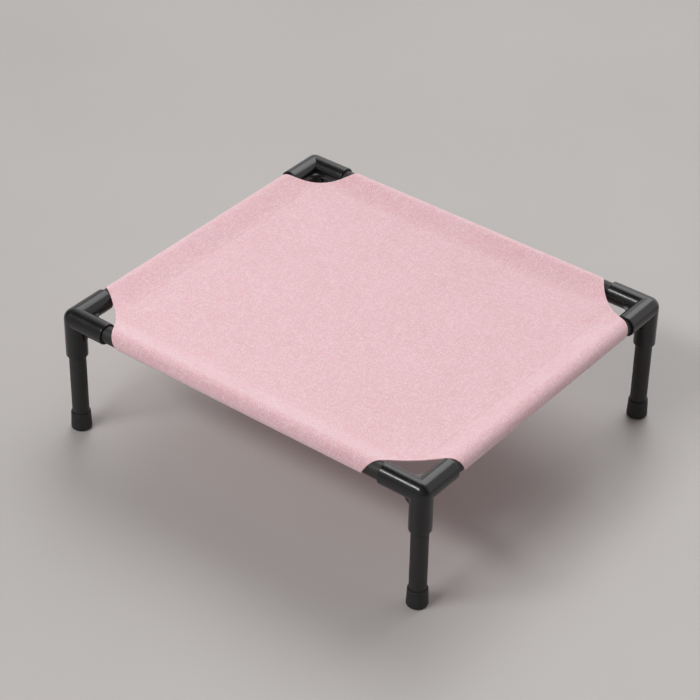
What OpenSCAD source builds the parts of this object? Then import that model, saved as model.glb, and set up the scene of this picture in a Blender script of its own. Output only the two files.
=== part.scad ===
// Raised pet cot: four rails and four legs of steel tube are pushed into moulded three-way
// corner fittings, and a sewn sheet is stretched between the rails by a pocket along each side.
// The origin is on the floor under the middle of the bed, X runs along the long rails, Z is up.

/* [Frame] */
// Distance between the two short rails, axis to axis
span_x = 395; // [240:1:900]
// Distance between the two long rails, axis to axis
span_y = 348; // [240:1:700]
// Height of the rail axes above the floor
rail_height = 123.5; // [95:0.5:260]
// Outside diameter of the rail and leg tubes
tube_od = 16; // [12:0.5:22]
// Wall of the tubes
tube_wall = 1; // [0.6:0.1:2]

/* [Corner fittings] */
// Wall of the sleeves around the tubes
sleeve_wall = 2.3; // [1.2:0.05:4]
// Depth that a tube is pushed into a sleeve
socket_depth = 27.5; // [15:0.5:45]
// Material between a tube's end and the side of the tubes that cross it
end_spacing = 4.5; // [3:0.5:10]
// Gap between a tube and its socket, on the radius
socket_gap = 0.05; // [0.02:0.01:0.1]
// Width of the ledge that stops the tube in its socket
stop_ledge = 2; // [1.2:0.1:3]
// Length of a web along the sleeves that it joins
web_leg = 10; // [4:0.5:16]
// Thickness of the three webs between the sleeves
web_thickness = 2.5; // [1.5:0.1:5]
// Rounding of the outer edge at a sleeve's mouth
mouth_round = 1; // [0.3:0.1:1.4]
// Lead-in chamfer inside a sleeve's mouth
lead_in = 0.6; // [0.2:0.1:1]

/* [Foot caps] */
// Height of a cap
cap_height = 18.5; // [12:0.5:35]
// Thickness of a cap's floor under the tube
cap_floor = 3.5; // [2.5:0.1:6]
// Wall of a cap at its rim
cap_wall = 1.2; // [0.8:0.1:3]
// How much wider a cap is at its foot, on the radius
cap_flare = 0.7; // [0:0.1:3]
// Gap between a cap and its tube, on the radius
cap_gap = 0.05; // [0.02:0.01:0.1]
// Rounding of the foot's edge
cap_round = 2; // [0.5:0.1:2.4]
// Depth of the ring groove in the tread
tread_depth = 0.8; // [0.4:0.1:1.5]
// Width of the ring groove in the tread
tread_width = 1.6; // [0.8:0.1:2.4]

/* [Sheet] */
// Thickness of the woven cloth
cloth = 1; // [0.6:0.1:1.6]
// Gap between a tube and the pocket round it, on the radius
pocket_gap = 0.3; // [0.2:0.05:1]
// Distance of the pocket seams from the rail axes
seam_inset = 23; // [18:0.5:40]
// How far the seams lie below the rail axes
seam_drop = 1; // [0:0.5:4]
// Second layer of cloth that lies under the panel beyond a seam
hem = 8; // [4:0.5:16]
// Clear length between a sleeve's inner side and the cloth, along the long rails
clear_x = 6; // [0.5:0.5:40]
// Clear length between a sleeve's inner side and the cloth, along the short rails
clear_y = 1.5; // [0.5:0.5:40]
// How deep the cut-out at each corner bows in towards the middle, between the sleeves
corner_bow = 3.5; // [1:0.25:7]

/* [Hidden] */
$fn = 96;

// Steps in a quarter turn of a turned profile's rounding
ROUND_STEPS = 8;
// Length by which a cutter passes the faces that it cuts
PAST = 1;
// Share of a pocket's radius at which its flanks end, so that they cross the round part
TUCK = 0.995;

tube_r = tube_od / 2;
socket_r = tube_r + socket_gap;
sleeve_r = socket_r + sleeve_wall;
stop_at = tube_r + end_spacing;
sleeve_reach = stop_at + socket_depth;
core_r = tube_r - stop_ledge;
// A web ends this far from the axes of its sleeves, a little inside their skin
web_root = sleeve_r - web_thickness;
web_end = sleeve_r + web_leg + web_thickness;

cap_bore_r = tube_r + cap_gap;
cap_rim_r = cap_bore_r + cap_wall;
cap_foot_r = cap_rim_r + cap_flare;

pocket_r = tube_r + pocket_gap;
pocket_out_r = pocket_r + cloth;
// How far the point of a pocket's drop-shaped section lies from the tube, in radii
drop_point = norm([seam_inset, seam_drop]) / pocket_out_r;
seam_height = rail_height - seam_drop;

// The corner cut-out is an arc that passes clear of the inner sides of both sleeves' mouths
cut_from = [sleeve_reach + clear_x, sleeve_r];
cut_to = [sleeve_r, sleeve_reach + clear_y];
cut_chord = norm(cut_from - cut_to);
cut_inward = [cut_to.y - cut_from.y, cut_from.x - cut_to.x] / cut_chord;
cut_r = (cut_chord * cut_chord / 4 + corner_bow * corner_bow) / (2 * corner_bow);
cut_centre = (cut_from + cut_to) / 2 - (cut_r - corner_bow) * cut_inward;

TUBE_COLOUR = [0.10, 0.10, 0.11];
FITTING_COLOUR = [0.05, 0.05, 0.055];
CAP_COLOUR = [0.08, 0.08, 0.085];
CLOTH_COLOUR = [0.89, 0.74, 0.77];

// Points of an arc about a centre, for turned profiles
function arc(centre, r, from, to) =
    [for (i = [0:ROUND_STEPS]) centre + r * [cos(from + (to - from) * i / ROUND_STEPS),
                                             sin(from + (to - from) * i / ROUND_STEPS)]];

// A tube along Z with square-cut ends
module tube(length) {
    difference() {
        cylinder(r = tube_r, h = length);
        translate([0, 0, -PAST])
            cylinder(r = tube_r - tube_wall, h = length + 2 * PAST);
    }
}

// A rail runs between the stops of two fittings
module rail(span) {
    length = span - 2 * stop_at;
    color(TUBE_COLOUR)
        rotate([0, 90, 0])
            translate([0, 0, -length / 2])
                tube(length);
}

// A leg runs from the floor of its cap to the stop of its fitting
module leg() {
    color(TUBE_COLOUR)
        translate([0, 0, cap_floor])
            tube(rail_height - stop_at - cap_floor);
}

// Outside of a sleeve along Z, with its mouth's outer edge rounded
module sleeve() {
    rotate_extrude()
        polygon(concat(
            [[0, 0], [sleeve_r, 0]],
            arc([sleeve_r - mouth_round, sleeve_reach - mouth_round], mouth_round, 0, 90),
            [[0, sleeve_reach]]));
}

// Inside of a sleeve along Z: lead-in, socket, and a narrower core behind the stop
module socket() {
    // The cores of the three sleeves cross in the ball
    core_from = -core_r / 2;
    rotate_extrude()
        polygon([
            [0, core_from],
            [core_r, core_from],
            [core_r, stop_at],
            [socket_r, stop_at],
            [socket_r, sleeve_reach - lead_in],
            [socket_r + lead_in + PAST, sleeve_reach + PAST],
            [0, sleeve_reach + PAST]]);
}

// Points the child's Z axis along each of a fitting's three arms: inwards, inwards and down
module along_arms() {
    rotate([0, 90, 0])
        children();
    rotate([-90, 0, 0])
        children();
    rotate([180, 0, 0])
        children();
}

// Flat three-cornered web in the corner between two arms
module web() {
    translate([0, 0, -web_thickness / 2])
        linear_extrude(web_thickness)
            polygon([[0, 0], [web_end, 0], [web_end, web_root], [web_root, web_end], [0, web_end]]);
}

// Moulded three-way corner: sleeves meet in a ball and are stiffened by a web between each pair
module corner_fitting() {
    color(FITTING_COLOUR)
        translate([0, 0, rail_height])
            difference() {
                union() {
                    sphere(r = sleeve_r);
                    along_arms()
                        sleeve();
                    web();
                    rotate([-90, 0, 0])
                        web();
                    rotate([0, 90, 0])
                        web();
                }
                along_arms()
                    socket();
            }
}

// Soft cap pushed onto the tube's end: it flares to a rounded foot with a ring groove in its tread
module foot_cap() {
    groove_r = cap_foot_r - cap_round - tread_width;
    color(CAP_COLOUR)
        rotate_extrude()
            polygon(concat(
                [[0, 0],
                 [groove_r - tread_width, 0],
                 [groove_r - tread_width, tread_depth],
                 [groove_r, tread_depth],
                 [groove_r, 0]],
                arc([cap_foot_r - cap_round, cap_round], cap_round, -90, 0),
                arc([cap_rim_r - cap_wall / 2, cap_height - cap_wall / 2], cap_wall / 2, 0, 90),
                [[cap_bore_r, cap_height],
                 [cap_bore_r, cap_floor],
                 [0, cap_floor]]));
}

// Section of a pocket: a circle round the tube, drawn out to a point at the seam
module drop(r) {
    lean = atan2(-seam_drop, seam_inset);
    spread = acos(1 / drop_point);
    circle(r = r);
    polygon([
        r * drop_point * [cos(lean), sin(lean)],
        TUCK * r * [cos(lean + spread), sin(lean + spread)],
        TUCK * r * [cos(lean - spread), sin(lean - spread)]]);
}

// A drop-shaped bar along X about the rail axis, with its point towards +Y
module drop_bar(r, length) {
    rotate([90, 0, 90])
        linear_extrude(length, center = true)
            drop(r);
}

// Repeats its first child along both long rails and its second along both short rails
module along_rails() {
    for (turn = [0, 180]) {
        rotate(turn)
            translate([0, -span_y / 2, rail_height])
                children(0);
        rotate(turn + 90)
            translate([0, -span_x / 2, rail_height])
                children(1);
    }
}

// A flat layer of the panel, between two heights about the seams
module panel_layer(inset, low, high) {
    size = [span_x - 2 * inset, span_y - 2 * inset, high - low];
    translate([-size.x / 2, -size.y / 2, seam_height + low])
        cube(size);
}

// Sewn sheet: a taut panel with a hemmed pocket along each side and bowed cut-outs at its corners
module bed_sheet() {
    // The panel starts in the solid point of the pockets, and the hem in their lower flank
    panel_inset = seam_inset * (1 + pocket_r / pocket_out_r) / 2;
    hem_inset = (seam_inset + pocket_out_r) / 2;
    // The hem is a second layer, right under the panel
    hem_low = -cloth / 2 - cloth;
    color(CLOTH_COLOUR)
        difference() {
            union() {
                panel_layer(panel_inset, -cloth / 2, cloth / 2);
                difference() {
                    panel_layer(hem_inset, hem_low, 0);
                    panel_layer(seam_inset + hem, hem_low - PAST, PAST);
                }
                along_rails() {
                    drop_bar(pocket_out_r, span_x - 2 * seam_inset - 2 * PAST);
                    drop_bar(pocket_out_r, span_y - 2 * seam_inset - 2 * PAST);
                }
            }
            along_rails() {
                drop_bar(pocket_r, span_x - 2 * seam_inset);
                drop_bar(pocket_r, span_y - 2 * seam_inset);
            }
            for (sx = [-1, 1], sy = [-1, 1])
                translate([sx * (span_x / 2 - cut_centre.x), sy * (span_y / 2 - cut_centre.y), 0])
                    cylinder(r = cut_r, h = rail_height + sleeve_r + PAST);
        }
}

// Puts a piece at a corner, turned so that its arms point inwards along the rails
module at_corner(sx, sy) {
    turn = sy < 0 ? (sx < 0 ? 0 : 90) : (sx < 0 ? 270 : 180);
    translate([sx * span_x / 2, sy * span_y / 2, 0])
        rotate(turn)
            children();
}

translate([0, -span_y / 2, rail_height]) rail(span_x);  // front_rail
translate([0, span_y / 2, rail_height]) rail(span_x);  // back_rail
translate([-span_x / 2, 0, rail_height]) rotate(90) rail(span_y);  // left_rail
translate([span_x / 2, 0, rail_height]) rotate(90) rail(span_y);  // right_rail
at_corner(-1, -1) corner_fitting();  // front_left_fitting
at_corner(1, -1) corner_fitting();  // front_right_fitting
at_corner(1, 1) corner_fitting();  // back_right_fitting
at_corner(-1, 1) corner_fitting();  // back_left_fitting
at_corner(-1, -1) leg();  // front_left_leg
at_corner(1, -1) leg();  // front_right_leg
at_corner(1, 1) leg();  // back_right_leg
at_corner(-1, 1) leg();  // back_left_leg
at_corner(-1, -1) foot_cap();  // front_left_foot
at_corner(1, -1) foot_cap();  // front_right_foot
at_corner(1, 1) foot_cap();  // back_right_foot
at_corner(-1, 1) foot_cap();  // back_left_foot
bed_sheet();
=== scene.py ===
import math

import bpy
import numpy as np
from mathutils import Matrix, Vector


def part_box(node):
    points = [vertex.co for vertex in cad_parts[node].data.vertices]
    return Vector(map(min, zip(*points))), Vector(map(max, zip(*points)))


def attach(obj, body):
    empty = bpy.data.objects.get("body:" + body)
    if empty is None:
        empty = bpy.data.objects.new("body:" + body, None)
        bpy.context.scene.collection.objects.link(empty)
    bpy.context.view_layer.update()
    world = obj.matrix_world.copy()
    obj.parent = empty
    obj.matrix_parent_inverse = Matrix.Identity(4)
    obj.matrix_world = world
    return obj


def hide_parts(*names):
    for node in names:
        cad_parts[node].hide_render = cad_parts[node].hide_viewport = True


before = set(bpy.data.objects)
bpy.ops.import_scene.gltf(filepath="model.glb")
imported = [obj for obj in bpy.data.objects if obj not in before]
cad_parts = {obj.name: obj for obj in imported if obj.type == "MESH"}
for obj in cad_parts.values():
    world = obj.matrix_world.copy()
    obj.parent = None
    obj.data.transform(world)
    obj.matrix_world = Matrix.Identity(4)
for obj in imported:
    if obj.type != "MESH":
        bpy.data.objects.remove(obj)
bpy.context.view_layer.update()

# Camera: a long lens looks down on the cot's near right corner from standing height, about
# two and a quarter metres away, and is rolled by a degree, as the picture is.
camera_place = Vector((1.0956, -1.4375, 1.3814))
camera_azimuth = math.radians(37.68)
camera_elevation = math.radians(35.733)
camera_roll = math.radians(1.016)
camera_lens = 123.4
sensor_width = 36

bpy.ops.object.select_all(action="DESELECT")
bpy.ops.object.camera_add(location=camera_place)
camera = bpy.context.object
camera.rotation_euler = (
    Matrix.Rotation(camera_azimuth, 3, "Z")
    @ Matrix.Rotation(math.pi / 2 - camera_elevation, 3, "X")
    @ Matrix.Rotation(camera_roll, 3, "Z")
).to_euler()
camera.data.lens = camera_lens
camera.data.sensor_width = sensor_width
bpy.context.scene.camera = camera
bpy.context.scene.view_settings.view_transform = "Standard"


# Rails and legs: straight lengths of thin steel tube with a dark powder coat, cut square.
# They are pushed into the fittings and held by friction, and the legs carry caps at the floor.
def linear(hex_colour):
    """An sRGB hex colour as the linear one that a shader takes."""
    parts = [int(hex_colour[i:i + 2], 16) / 255 for i in (1, 3, 5)]
    return [p / 12.92 if p <= 0.04045 else ((p + 0.055) / 1.055) ** 2.4 for p in parts] + [1.0]


def add_node(material, kind, settings):
    """Adds a node, or finds the one of that name, with options, input values and linked sockets set."""
    nodes = material.node_tree.nodes
    node = nodes.get(kind) or nodes.new(kind)
    for key, value in settings.items():
        if isinstance(key, str) and hasattr(node, key):
            setattr(node, key, value)
        elif isinstance(value, bpy.types.NodeSocket):
            material.node_tree.links.new(value, node.inputs[key])
        else:
            node.inputs[key].default_value = value
    return node


# Powder coat: a matt, faintly brown black with a fine orange peel that breaks up its highlights.
coat_dark = "#1D1B1B"
coat_pale = "#292625"
coat_rough = (0.44, 0.58)
peel_mm = 0.9
peel_depth_mm = 0.012
cloud_mm = 14
noise_span = (0.3, 0.7)  # most values of a noise pattern lie in this span

steel = bpy.data.materials.new("powder_coated_steel")
steel.use_nodes = True
place = add_node(steel, "ShaderNodeTexCoord", {}).outputs["Object"]
cloud = add_node(steel, "ShaderNodeTexNoise", {"Vector": place, "Scale": 1000 / cloud_mm, "Detail": 4})
peel = add_node(steel, "ShaderNodeTexNoise", {"Vector": place, "Scale": 1000 / peel_mm, "Detail": 2})
tone = add_node(steel, "ShaderNodeMixRGB", {
    "Fac": cloud.outputs["Fac"], "Color1": linear(coat_dark), "Color2": linear(coat_pale)})
rough = add_node(steel, "ShaderNodeMapRange", {
    "Value": cloud.outputs["Fac"], "From Min": noise_span[0], "From Max": noise_span[1],
    "To Min": coat_rough[0], "To Max": coat_rough[1]})
bump = add_node(steel, "ShaderNodeBump", {
    "Height": peel.outputs["Fac"], "Strength": 1.0, "Distance": peel_depth_mm / 1000})
add_node(steel, "Principled BSDF", {
    "Base Color": tone.outputs["Color"], "Roughness": rough.outputs["Result"], "IOR": 1.5,
    "Normal": bump.outputs["Normal"]})

corners = ("front_left", "front_right", "back_right", "back_left")
rails = ("front_rail", "back_rail", "left_rail", "right_rail")
for name in rails + tuple(f"{corner}_leg" for corner in corners):
    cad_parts[name].material_slots[0].material = steel

# Corner fittings: three sleeves and their webs in one injection moulding of black plastic.
# Each takes the ends of two rails and a leg, which are pushed home and held by friction.

# Moulded ABS: nearly black and satin glossy, so that lamps show as crisp streaks along a sleeve,
# with a faint flow pattern from the mould.
abs_dark = "#0D0D0E"
abs_pale = "#141416"
abs_rough = (0.19, 0.27)
flow_mm = 9
grain_mm = 0.6
grain_depth_mm = 0.004

abs_plastic = bpy.data.materials.new("black_moulded_abs")
abs_plastic.use_nodes = True
place = add_node(abs_plastic, "ShaderNodeTexCoord", {}).outputs["Object"]
flow = add_node(abs_plastic, "ShaderNodeTexNoise", {
    "Vector": place, "Scale": 1000 / flow_mm, "Detail": 3, "Distortion": 0.8})
grain = add_node(abs_plastic, "ShaderNodeTexNoise", {"Vector": place, "Scale": 1000 / grain_mm, "Detail": 2})
tone = add_node(abs_plastic, "ShaderNodeMixRGB", {
    "Fac": flow.outputs["Fac"], "Color1": linear(abs_dark), "Color2": linear(abs_pale)})
rough = add_node(abs_plastic, "ShaderNodeMapRange", {
    "Value": flow.outputs["Fac"], "From Min": noise_span[0], "From Max": noise_span[1],
    "To Min": abs_rough[0], "To Max": abs_rough[1]})
bump = add_node(abs_plastic, "ShaderNodeBump", {
    "Height": grain.outputs["Fac"], "Strength": 1.0, "Distance": grain_depth_mm / 1000})
add_node(abs_plastic, "Principled BSDF", {
    "Base Color": tone.outputs["Color"], "Roughness": rough.outputs["Result"], "IOR": 1.53,
    "Normal": bump.outputs["Normal"]})
for corner in corners:
    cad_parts[f"{corner}_fitting"].material_slots[0].material = abs_plastic

# Foot caps: soft black rubber caps, moulded in one piece and a little wider at the floor.
# They are pushed over the legs' lower ends and hold there by their own grip.

# Rubber: matt black, with a dusty bloom in patches and a fine grain that scatters light.
rubber_dark = "#161616"
rubber_bloom = "#262524"
bloom_mm = 6
rubber_grain_mm = 0.5
rubber_grain_depth_mm = 0.02

rubber = bpy.data.materials.new("moulded_rubber")
rubber.use_nodes = True
place = add_node(rubber, "ShaderNodeTexCoord", {}).outputs["Object"]
bloom = add_node(rubber, "ShaderNodeTexNoise", {"Vector": place, "Scale": 1000 / bloom_mm, "Detail": 5})
grain = add_node(rubber, "ShaderNodeTexNoise", {
    "Vector": place, "Scale": 1000 / rubber_grain_mm, "Detail": 2})
tone = add_node(rubber, "ShaderNodeMixRGB", {
    "Fac": bloom.outputs["Fac"], "Color1": linear(rubber_dark), "Color2": linear(rubber_bloom)})
bump = add_node(rubber, "ShaderNodeBump", {
    "Height": grain.outputs["Fac"], "Strength": 1.0, "Distance": rubber_grain_depth_mm / 1000})
add_node(rubber, "Principled BSDF", {
    "Base Color": tone.outputs["Color"], "Roughness": 0.62, "IOR": 1.5, "Normal": bump.outputs["Normal"]})
for corner in corners:
    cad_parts[f"{corner}_foot"].material_slots[0].material = rubber

# Sheet: one piece of woven cloth, cut with a bowed notch at each corner. Its four sides are turned
# over the rails and sewn down, so that each rail lies in a pocket that pulls the panel flat.
# Its lengths are in metres.
front_low, front_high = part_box("front_rail")
left_low, left_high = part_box("left_rail")
rail_height = (front_low.z + front_high.z) / 2
half_x = -(left_low.x + left_high.x) / 2
half_y = -(front_low.y + front_high.y) / 2

cloth = 0.0008
pocket_slack = 0.00015
wrap_r = (front_high.z - front_low.z) / 2 + pocket_slack + cloth / 2
seam_inset = 0.023
seam_drop = 0.001
crease = 0.0016
hem = 0.008
layer_gap = 0.001
panel_sag = 0.003

# Each notch: where its edge meets the tops of the X and Y pockets, from the rails' crossing,
# how far the edge bows in between them, and how far it dips below them. The cloth is back to
# its own height a few times notch_calm away from the edge
notches = {
    (-1, -1): (0.0472, 0.0440, 0.0044, 0.0057),
    (1, -1): (0.0480, 0.0428, 0.0055, 0.0055),
    (1, 1): (0.0493, 0.0425, 0.0046, 0.0032),
    (-1, 1): (0.0495, 0.0425, 0.0070, 0.0058),
}
dip_power = 1.5
notch_calm = 0.022

# The seams pucker a little, at a pitch that sways, and the end of the right pocket has two small
# folds beside the near corner
pucker_rise = 0.00012
pucker_pitch = 0.024
pucker_width = 0.009
pucker_sway = 1.7
pucker_drift = 5.3
folds = (
    ((0.1710, -0.1040), (0.1730, -0.0850), 0.0006),
    ((0.1730, -0.0850), (0.1815, -0.0715), 0.0005),
)
fold_width = 0.003

# The cloth leaves the round of the rail on a straight flank that runs down to the seam
seam_angle = math.atan2(-seam_drop, seam_inset)
flank_spread = math.acos(wrap_r / math.hypot(seam_inset, seam_drop))
leave_angle = seam_angle + flank_spread
return_angle = seam_angle - flank_spread
leave_at = wrap_r * math.cos(leave_angle)
flank_slope = (wrap_r * math.sin(leave_angle) + seam_drop) / (seam_inset - leave_at)
flank_length = math.hypot(1, flank_slope)


def pocket_rise(inward):
    """Height of the cloth above the seams, at a distance inwards from a rail's axis."""
    flank = flank_slope * crease * np.log1p(np.exp((seam_inset - inward) / crease))
    on_round = seam_drop + np.sqrt(np.clip(wrap_r ** 2 - inward ** 2, 0, None))
    return np.where(inward < leave_at, on_round, flank)


def unrolled(inward):
    """Length of the cloth from the top of a rail to a distance inwards from the rail's axis."""
    on_round = wrap_r * np.arcsin(np.clip(inward, 0, leave_at) / wrap_r)
    on_flank = flank_length * np.clip(inward - leave_at, 0, seam_inset - leave_at)
    return on_round + on_flank + np.clip(inward - seam_inset, 0, None)


def stretched_height(x, y):
    """Height of the cloth's middle between the rails, as it would be with no notches."""
    across_x = np.clip(1 - (x / (half_x - seam_inset)) ** 2, 0, None)
    across_y = np.clip(1 - (y / (half_y - seam_inset)) ** 2, 0, None)
    rise = pocket_rise(half_x - np.abs(x)) + pocket_rise(half_y - np.abs(y))
    for run, off_rail in ((x, half_y - np.abs(y)), (y, half_x - np.abs(x))):
        turns = 2 * np.pi * run / pucker_pitch
        pucker = np.sin(turns + pucker_sway * np.sin(turns / pucker_drift))
        rise = rise + pucker_rise * pucker * np.exp(-((off_rail - seam_inset) / pucker_width) ** 2)
    for (start_x, start_y), (stop_x, stop_y), fold_rise in folds:
        run_x, run_y = stop_x - start_x, stop_y - start_y
        share = ((x - start_x) * run_x + (y - start_y) * run_y) / (run_x ** 2 + run_y ** 2)
        share = np.clip(share, 0, 1)
        off_fold = np.hypot(x - start_x - share * run_x, y - start_y - share * run_y)
        rise = rise + fold_rise * np.exp(-(off_fold / fold_width) ** 2)
    return rail_height - seam_drop + rise - panel_sag * across_x * across_y


def notch_arc(end_x, end_y, bow):
    """Centre, radius and end angles of a notch's edge, with both axes inwards from the rails' crossing."""
    start, stop = np.array([end_x, 0]), np.array([0, end_y])
    chord = np.linalg.norm(stop - start)
    radius = (chord ** 2 / 4 + bow ** 2) / (2 * bow)
    centre = (start + stop) / 2 - (radius - bow) * np.array([end_y, end_x]) / chord
    angles = [math.atan2(*(point - centre)[::-1]) for point in (start, stop)]
    return centre, radius, angles


def bed_height(x, y):
    """Height of the cloth's middle, with the free edge of each notch pulled up towards the rails' tops."""
    height = stretched_height(x, y)
    for (side_x, side_y), (end_x, end_y, bow, dip) in notches.items():
        centre, radius, (first, last) = notch_arc(end_x, end_y, bow)
        from_x = half_x - side_x * x - centre[0]
        from_y = half_y - side_y * y - centre[1]
        share = np.clip((np.arctan2(from_y, from_x) - first) / (last - first), 0, 1)
        angle = first + share * (last - first)
        edge_x = side_x * (half_x - centre[0] - radius * np.cos(angle))
        edge_y = side_y * (half_y - centre[1] - radius * np.sin(angle))
        taut = rail_height + wrap_r - dip * (1 - (2 * share - 1) ** 2) ** dip_power
        off_edge = np.clip(np.hypot(from_x, from_y) - radius, 0, None)
        height = height + (taut - stretched_height(edge_x, edge_y)) * np.exp(-off_edge / notch_calm)
    return height


# The panel is a grid whose rows run between the left and the right edge of the cloth and whose
# lines crowd towards the pockets and the ends of the notches
notch_rows = 36
side_rows = 76
columns = 150
end_crowding = 0.85
notch_crowding = 0.6


def notch_edge(side_x, side_y):
    """Points along a notch's edge, from the X rail to the Y rail, closer together at both ends."""
    centre, radius, (first, last) = notch_arc(*notches[side_x, side_y][:3])
    step = np.linspace(0, 1, notch_rows + 1)
    angle = first + (last - first) * (step - notch_crowding * np.sin(2 * np.pi * step) / (2 * np.pi))
    x = side_x * (half_x - centre[0] - radius * np.cos(angle))
    y = side_y * (half_y - centre[1] - radius * np.sin(angle))
    return np.stack([x, y], axis=1)


def long_edge(side_x):
    """The cloth's left or right edge on top of the rails: a notch, a straight side and a notch."""
    front, back = notch_edge(side_x, -1), notch_edge(side_x, 1)[::-1]
    side = np.linspace(front[-1], back[0], side_rows + 1)
    return np.concatenate([front, side[1:-1], back])


step = np.linspace(0, 1, columns + 1)
column_shares = step - end_crowding * np.sin(2 * np.pi * step) / (2 * np.pi)
row_shares = np.linspace(0, 1, side_rows + 1)
left_edge, right_edge = long_edge(-1), long_edge(1)
panel = left_edge[:, None] + (right_edge - left_edge)[:, None] * column_shares[None, :, None]
panel_x, panel_y = panel[..., 0], panel[..., 1]
reach_x, reach_y = unrolled(half_x), unrolled(half_y)
cut_x = np.sign(panel_x) * (reach_x - unrolled(half_x - np.abs(panel_x)))
cut_y = np.sign(panel_y) * (reach_y - unrolled(half_y - np.abs(panel_y)))
panel_points = np.stack([panel_x, panel_y, bed_height(panel_x, panel_y)], axis=-1)
blocks = [(panel_points, np.stack([cut_x, cut_y], axis=-1))]

# A pocket's outer half goes from the rail's top round its outside to the seam, and ends in the hem.
# Its mouth goes on with the slant of the notch's edge, up to slant_stop along the cloth
round_steps = 26
flank_steps = 8
hem_steps = 4
slant_stop = 0.022

turn = np.linspace(math.pi / 2, 2 * math.pi + return_angle, round_steps + 1)
return_at = wrap_r * math.cos(return_angle)
flank = np.linspace(return_at, seam_inset, flank_steps + 1)[1:]
under = np.linspace(seam_inset, seam_inset + hem, hem_steps + 1)[1:]
inward = np.concatenate([wrap_r * np.cos(turn), flank, under])
round_length = wrap_r * (turn - turn[0])
return_length = math.sqrt(seam_inset ** 2 + seam_drop ** 2 - wrap_r ** 2)
flank_share = (flank - return_at) / (seam_inset - return_at)
wrapped = np.concatenate([
    round_length,
    round_length[-1] + flank_share * return_length,
    round_length[-1] + return_length + under - seam_inset])


def pocket(on_y_rail, side):
    """The outer half of a pocket, as a grid of points and their places in the flat cut."""
    half_run, half_off = (half_y, half_x) if on_y_rail else (half_x, half_y)
    ends = []
    for end in (-1, 1):
        notch = notches[(side, end) if on_y_rail else (end, side)]
        centre = notch_arc(*notch[:3])[0]
        slant = -centre[1 - on_y_rail] / (notch[on_y_rail] - centre[on_y_rail])
        drawn_back = notch[on_y_rail] + slant * np.minimum(wrapped, slant_stop)
        ends.append(end * (half_run - drawn_back))
    shares = row_shares if on_y_rail else column_shares
    run = ends[0][:, None] + np.outer(ends[1] - ends[0], shares)
    off = side * (half_off - inward)[:, None] + np.zeros_like(run)
    cut_off = side * (unrolled(half_off) + wrapped)[:, None] + np.zeros_like(run)
    x, y = (off, run) if on_y_rail else (run, off)
    under_panel = bed_height(x, y) - layer_gap
    seam_z = under_panel[round_steps + flank_steps]
    round_z = rail_height + wrap_r * np.sin(turn)[:, None] + np.zeros((1, run.shape[1]))
    flank_z = round_z[-1] + np.outer(flank_share, seam_z - round_z[-1])
    z = np.concatenate([round_z, flank_z, under_panel[round_steps + flank_steps + 1:]])
    cut = (cut_off, run) if on_y_rail else (run, cut_off)
    return np.stack([x, y, z], axis=-1), np.stack(cut, axis=-1)


for on_y_rail in (0, 1):
    blocks += [pocket(on_y_rail, -1), pocket(on_y_rail, 1)]

weld_distance = 0.00002
smooth_angle = math.radians(50)

points, cut_points, faces = [], [], []
for grid, cut in blocks:
    rows, count = grid.shape[:2]
    number = len(points) + np.arange(rows * count).reshape(rows, count)
    points += grid.reshape(-1, 3).tolist()
    cut_points += cut.reshape(-1, 2).tolist()
    quads = np.stack([number[:-1, :-1], number[:-1, 1:], number[1:, 1:], number[1:, :-1]], axis=-1)
    faces += quads.reshape(-1, 4).tolist()

mesh = bpy.data.meshes.new("bed_cloth")
mesh.from_pydata(points, [], faces)
cut_map = mesh.uv_layers.new(name="cut")
cut_points = np.array(cut_points)
corner_points = np.array([loop.vertex_index for loop in mesh.loops])
cut_map.data.foreach_set("uv", cut_points[corner_points].ravel())

sheet = bpy.data.objects.new("bed_cloth", mesh)
bpy.context.scene.collection.objects.link(sheet)
bpy.ops.object.select_all(action="DESELECT")
bpy.context.view_layer.objects.active = sheet
sheet.select_set(True)
bpy.ops.object.mode_set(mode="EDIT")
bpy.ops.mesh.select_all(action="SELECT")
bpy.ops.mesh.remove_doubles(threshold=weld_distance)
bpy.ops.mesh.normals_make_consistent(inside=False)
bpy.ops.object.mode_set(mode="OBJECT")
thickness = sheet.modifiers.new("thickness", "SOLIDIFY")
thickness.thickness = cloth
thickness.offset = 0
bpy.ops.object.modifier_apply(modifier=thickness.name)
bpy.ops.object.shade_smooth_by_angle(angle=smooth_angle)

# Woven polyester: uneven yarns, the warp a shade deeper than the weft, cross over and under, so
# that the cloth is flecked from near, even from afar, and has a soft bloom at low angles.
# The yarns are drawn at 1.4 mm, coarser than the real ones, so that they show.
yarn_mm = 1.4
slub_mm = 16
fade_mm = 70
yarn_depth_mm = 0.085
pink_deep = "#ECADB5"
pink_pale = "#FFDCE2"
warp_depth = 0.3
fade_share = 0.2
fleck_share = 0.5
fleck_rarity = 2.5
# How much painted shade darkens the cloth where one yarn dips under the next
painted_gap_shade = 0.22

weave = bpy.data.materials.new("woven_polyester")
weave.use_nodes = True
cut = add_node(weave, "ShaderNodeUVMap", {"uv_map": "cut"}).outputs["UV"]
yarns = add_node(weave, "ShaderNodeVectorMath", {"operation": "SCALE", 0: cut, "Scale": 1000 / yarn_mm})
yarns_xy = add_node(weave, "ShaderNodeSeparateXYZ", {0: yarns.outputs[0]})
crossing = add_node(weave, "ShaderNodeVectorMath", {"operation": "FLOOR", 0: yarns.outputs[0]})
crossing_xy = add_node(weave, "ShaderNodeSeparateXYZ", {0: crossing.outputs[0]})
ridges = []
for axis in ("X", "Y"):
    angle = add_node(weave, "ShaderNodeMath", {
        "operation": "MULTIPLY", 0: yarns_xy.outputs[axis], 1: math.pi})
    wave = add_node(weave, "ShaderNodeMath", {"operation": "SINE", 0: angle.outputs[0]})
    ridges.append(add_node(weave, "ShaderNodeMath", {"operation": "ABSOLUTE", 0: wave.outputs[0]}))
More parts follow.
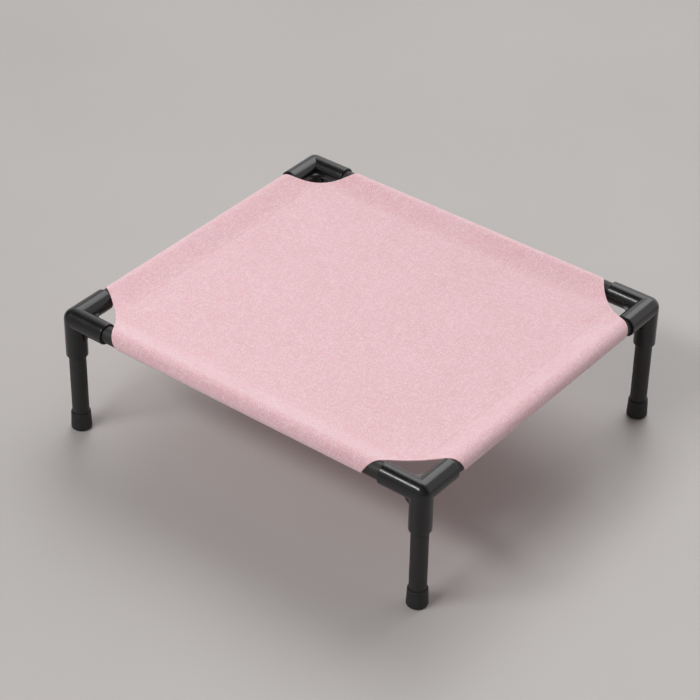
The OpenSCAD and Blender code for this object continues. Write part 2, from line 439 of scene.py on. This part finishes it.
parity = add_node(weave, "ShaderNodeMath", {
    "operation": "ADD", 0: crossing_xy.outputs["X"], 1: crossing_xy.outputs["Y"]})
warp_up = add_node(weave, "ShaderNodeMath", {"operation": "FLOORED_MODULO", 0: parity.outputs[0], 1: 2.0})
relief = add_node(weave, "ShaderNodeMix", {
    "Factor": warp_up.outputs[0], "A": ridges[1].outputs[0], "B": ridges[0].outputs[0]})
slubs = []
for stretch in ((1000 / slub_mm, 1000 / yarn_mm, 1), (1000 / yarn_mm, 1000 / slub_mm, 1)):
    along = add_node(weave, "ShaderNodeVectorMath", {"operation": "MULTIPLY", 0: cut, 1: stretch})
    slubs.append(add_node(weave, "ShaderNodeTexNoise", {
        "Vector": along.outputs[0], "Scale": 1.0, "Detail": 1, "noise_dimensions": "2D"}))
slub = add_node(weave, "ShaderNodeMix", {
    "Factor": warp_up.outputs[0], "A": slubs[0].outputs["Fac"], "B": slubs[1].outputs["Fac"]})
fleck = add_node(weave, "ShaderNodeTexWhiteNoise", {"noise_dimensions": "2D", "Vector": crossing.outputs[0]})
fade = add_node(weave, "ShaderNodeTexNoise", {
    "Vector": cut, "Scale": 1000 / fade_mm, "Detail": 2, "noise_dimensions": "2D"})
shade = add_node(weave, "ShaderNodeMix", {
    "Factor": fade_share, "A": slub.outputs["Result"], "B": fade.outputs["Fac"]})
pale_fleck = add_node(weave, "ShaderNodeMath", {
    "operation": "POWER", 0: fleck.outputs["Value"], 1: fleck_rarity})
flecked = add_node(weave, "ShaderNodeMath", {
    "operation": "MULTIPLY_ADD", 0: pale_fleck.outputs[0], 1: fleck_share, 2: shade.outputs["Result"]})
two_tone = add_node(weave, "ShaderNodeMath", {
    "operation": "MULTIPLY_ADD", 0: warp_up.outputs[0], 1: -warp_depth, 2: flecked.outputs[0]})
yarn_tone = add_node(weave, "ShaderNodeMixRGB", {
    "Fac": two_tone.outputs[0], "Color1": linear(pink_deep), "Color2": linear(pink_pale)})
# Painted shade: the yarn colour is darkened towards each yarn's edges, where it dips under the next yarn
tone = add_node(weave, "ShaderNodeMixRGB", {
    "blend_type": "MULTIPLY", "Fac": painted_gap_shade, "Color1": yarn_tone.outputs["Color"],
    "Color2": relief.outputs["Result"]})
bump = add_node(weave, "ShaderNodeBump", {
    "Height": relief.outputs["Result"], "Strength": 1.0, "Distance": yarn_depth_mm / 1000})
add_node(weave, "Principled BSDF", {
    "Base Color": tone.outputs["Color"], "Roughness": 0.85, "IOR": 1.45, "Specular IOR Level": 0.25,
    "Sheen Weight": 0.5, "Sheen Roughness": 0.7, "Normal": bump.outputs["Normal"]})
sheet.data.materials.append(weave)

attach(sheet, "frame")
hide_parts("bed_sheet")

# Thread: each pocket is closed by one row of machine stitches in the cloth's own colour, which
# shows on top of the panel and again below it, where the row holds the pocket's hem.
stitch_length = 0.0031
stitch_width = 0.0007
stitch_height = 0.0008
stitch_pitch = 0.0042
stitch_inset = 0.0015
stitch_line = seam_inset + stitch_inset
row_clear = 0.004

bpy.ops.object.select_all(action="DESELECT")
bpy.ops.mesh.primitive_uv_sphere_add(segments=8, ring_count=5, radius=0.5)
stitch = bpy.context.object
bpy.ops.object.mode_set(mode="EDIT")
bpy.ops.mesh.select_all(action="SELECT")
bpy.ops.transform.rotate(value=math.pi / 2, orient_axis="Y", center_override=(0, 0, 0))
bpy.ops.transform.resize(value=(stitch_length, stitch_width, stitch_height))
bpy.ops.object.mode_set(mode="OBJECT")
bpy.ops.object.shade_smooth()

stitch_rows = []
for on_y_rail in (0, 1):
    half_run, half_off = (half_y, half_x) if on_y_rail else (half_x, half_y)
    for side in (-1, 1):
        row_ends = []
        for end in (-1, 1):
            centre, radius, angles = notch_arc(*notches[(side, end) if on_y_rail else (end, side)][:3])
            across = stitch_line - centre[1 - on_y_rail]
            row_ends.append(half_run - row_clear - centre[on_y_rail] - math.sqrt(radius ** 2 - across ** 2))
        count = int(sum(row_ends) / stitch_pitch)
        first = (row_ends[1] - row_ends[0] - (count - 1) * stitch_pitch) / 2
        off = side * (half_off - stitch_line)
        place = Matrix.Translation((off, first, 0) if on_y_rail else (first, off, 0))
        for lift in (cloth / 2, -layer_gap - cloth / 2):
            bpy.ops.object.select_all(action="DESELECT")
            stitch.select_set(True)
            bpy.context.view_layer.objects.active = stitch
            bpy.ops.object.duplicate()
            row = bpy.context.object
            repeat = row.modifiers.new("row", "ARRAY")
            repeat.count = count
            repeat.use_relative_offset = False
            repeat.use_constant_offset = True
            repeat.constant_offset_displace = (stitch_pitch, 0, 0)
            bpy.ops.object.modifier_apply(modifier=repeat.name)
            row.data.transform(place @ Matrix.Rotation(math.pi / 2 * on_y_rail, 4, "Z"))
            row_points = np.array([vertex.co for vertex in row.data.vertices])
            row_points[:, 2] += lift + bed_height(row_points[:, 0], row_points[:, 1])
            row.data.vertices.foreach_set("co", row_points.ravel())
            stitch_rows.append(row)
bpy.data.objects.remove(stitch)
bpy.ops.object.select_all(action="DESELECT")
for row in stitch_rows:
    row.select_set(True)
bpy.context.view_layer.objects.active = stitch_rows[0]
bpy.ops.object.join()
stitching = bpy.context.object
stitching.name = "pocket_stitching"

# Polyester thread: the cloth's own pink, but glossier, with the light and dark of its twist painted into the
# colour, as painted shade in the grooves and painted highlight on the crests, besides the bump.
# The twist is drawn at 0.8 mm, coarser than the real one, so that it shows. At scale 1 the
# diagonal bands of a Wave texture repeat after about a third of a metre.
twist_mm = 0.8
twist_depth_mm = 0.036
diagonal_repeat = 2 * math.pi / (10 * math.sqrt(3))
thread_shaded_pink = "#ECBAC2"
thread_lit_pink = "#FFDCE2"

thread = bpy.data.materials.new("polyester_thread")
thread.use_nodes = True
place = add_node(thread, "ShaderNodeTexCoord", {}).outputs["Object"]
twist = add_node(thread, "ShaderNodeTexWave", {
    "Vector": place, "bands_direction": "DIAGONAL", "Scale": diagonal_repeat * 1000 / twist_mm,
    "Distortion": 1.5})
# Painted shade and highlight: the twist's bands darken and lighten the thread's pink
tone = add_node(thread, "ShaderNodeMixRGB", {
    "Fac": twist.outputs["Fac"], "Color1": linear(thread_shaded_pink), "Color2": linear(thread_lit_pink)})
bump = add_node(thread, "ShaderNodeBump", {
    "Height": twist.outputs["Fac"], "Strength": 1.0, "Distance": twist_depth_mm / 1000})
add_node(thread, "Principled BSDF", {
    "Base Color": tone.outputs["Color"], "Roughness": 0.5, "IOR": 1.5, "Sheen Weight": 0.1,
    "Normal": bump.outputs["Normal"]})
stitching.data.materials.append(thread)

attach(stitching, "frame")

# Floor and light: a plain pale floor, a broad soft window light from behind on the left, and a
# narrow lamp in front on the left that draws the streaks along the fittings.
floor_width = 60
floor_dark = "#B6B2B0"
floor_pale = "#BFBBB9"
floor_cloud_mm = 300

bpy.ops.object.select_all(action="DESELECT")
bpy.ops.mesh.primitive_plane_add(size=floor_width)
floor = bpy.context.object
floor.name = "floor"
paint = bpy.data.materials.new("pale_floor_paint")
paint.use_nodes = True
place = add_node(paint, "ShaderNodeTexCoord", {}).outputs["Object"]
cloud = add_node(paint, "ShaderNodeTexNoise", {"Vector": place, "Scale": 1000 / floor_cloud_mm, "Detail": 3})
tone = add_node(paint, "ShaderNodeMixRGB", {
    "Fac": cloud.outputs["Fac"], "Color1": linear(floor_dark), "Color2": linear(floor_pale)})
add_node(paint, "Principled BSDF", {"Base Color": tone.outputs["Color"], "Roughness": 0.4, "IOR": 1.45})
floor.data.materials.append(paint)

bed_centre = Vector((0, 0, rail_height))
lamps = {
    "window": {"azimuth": 106, "elevation": 52, "distance": 3.6, "size": (3.0, 2.4), "power": 50},
    "front_lamp": {"azimuth": 252, "elevation": 46, "distance": 2.8, "size": (1.5, 0.42), "power": 35},
}
for name, lamp in lamps.items():
    azimuth, elevation = math.radians(lamp["azimuth"]), math.radians(lamp["elevation"])
    level = math.cos(elevation)
    towards = Vector((math.cos(azimuth) * level, math.sin(azimuth) * level, math.sin(elevation)))
    bpy.ops.object.light_add(type="AREA", location=bed_centre + towards * lamp["distance"])
    light = bpy.context.object
    light.name = name
    light.rotation_euler = towards.to_track_quat("Z", "Y").to_euler()
    light.data.shape = "RECTANGLE"
    light.data.size, light.data.size_y = lamp["size"]
    light.data.energy = lamp["power"]

# The room glows most on the window side behind the cot, less in front and least overhead
room_colour = "#FFFEFD"
glow_behind = 1.2
glow_before = 0.47
glow_above = 0.07

world = bpy.data.worlds.new("pale_room")
bpy.context.scene.world = world
world.use_nodes = True
way = add_node(world, "ShaderNodeTexCoord", {}).outputs["Generated"]
behind = add_node(world, "ShaderNodeVectorMath", {
    "operation": "DOT_PRODUCT", 0: way, 1: (0, glow_behind - glow_above, 0)})
before = add_node(world, "ShaderNodeVectorMath", {
    "operation": "DOT_PRODUCT", 0: way, 1: (0, glow_above - glow_before, 0)})
sides = add_node(world, "ShaderNodeMath", {
    "operation": "MAXIMUM", 0: behind.outputs["Value"], 1: before.outputs["Value"]})
glow = add_node(world, "ShaderNodeMath", {"operation": "ADD", 0: sides.outputs[0], 1: glow_above})
add_node(world, "Background", {"Color": linear(room_colour), "Strength": glow.outputs[0]})

bpy.context.view_layer.update()
